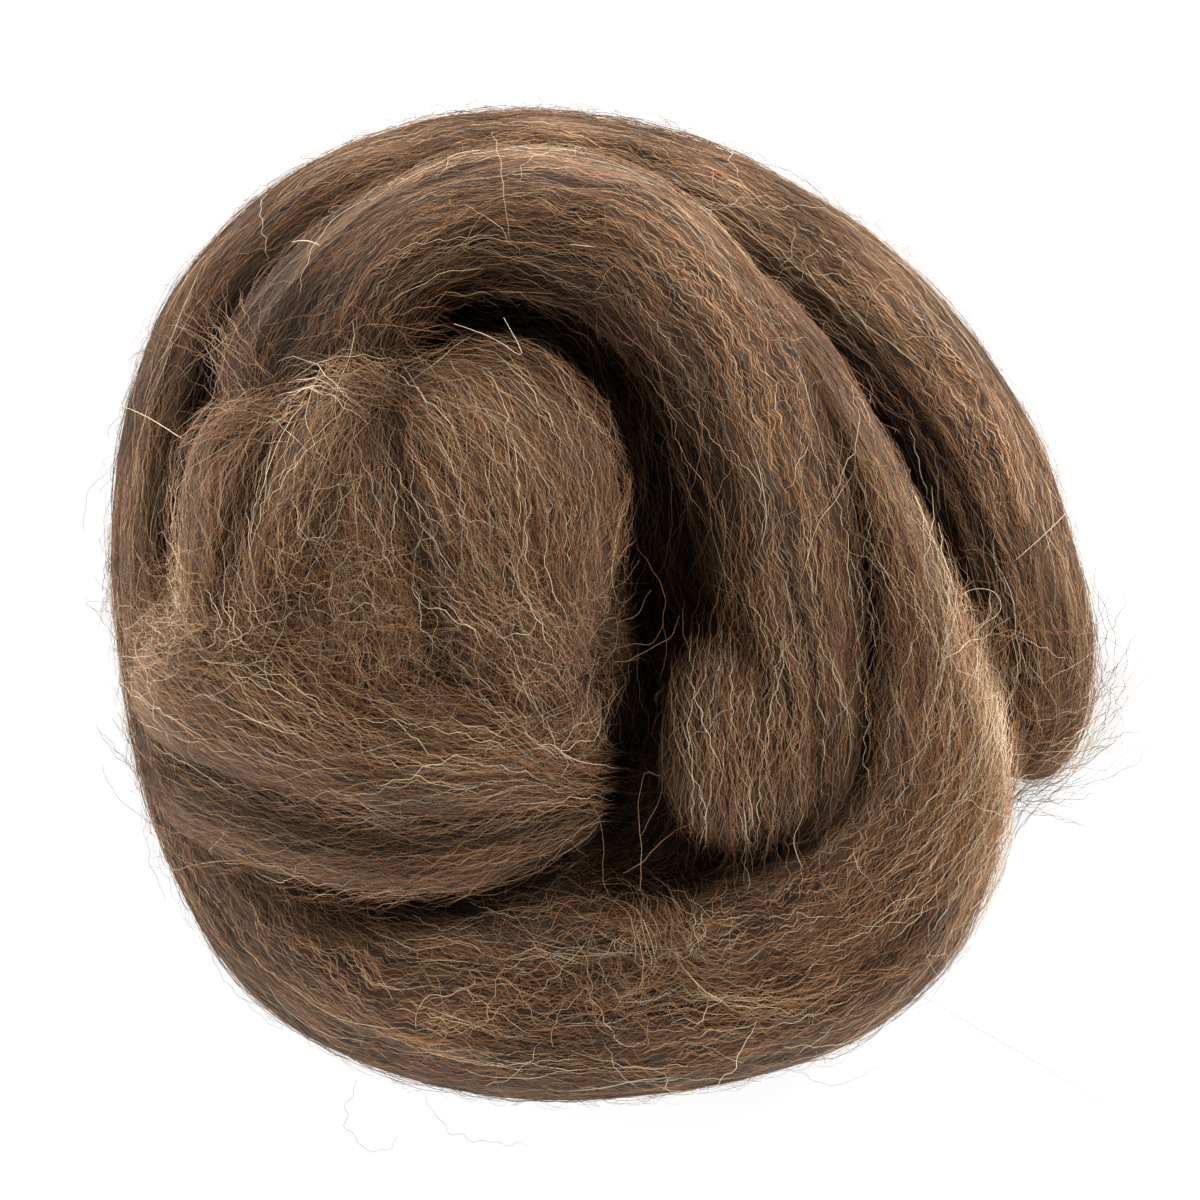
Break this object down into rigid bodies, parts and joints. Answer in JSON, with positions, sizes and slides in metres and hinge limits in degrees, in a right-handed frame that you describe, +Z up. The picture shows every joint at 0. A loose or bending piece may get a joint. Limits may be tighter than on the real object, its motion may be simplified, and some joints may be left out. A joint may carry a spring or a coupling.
{
  "type": "wool roving",
  "caption": "Loosely wound nest of combed natural brown wool roving: an outer coil, an inner coil that crosses over it, a ball of folds and a small tucked bend.",
  "frame": {"origin": "middle of the nest's bounding box on the surface that it lies on", "axes": "+Z up out of the surface; the loose end of the outer coil is at +X and the ball of folds at -X"},
  "size_m": [0.1605, 0.1614, 0.0615],
  "materials": {
    "wool": "undyed brown wool, combed so that most fibres lie along the strand, matt with fine bright hairs"
  },
  "bodies": {
    "root": {"wool_roving": "wool"}
  },
  "joints": []
}
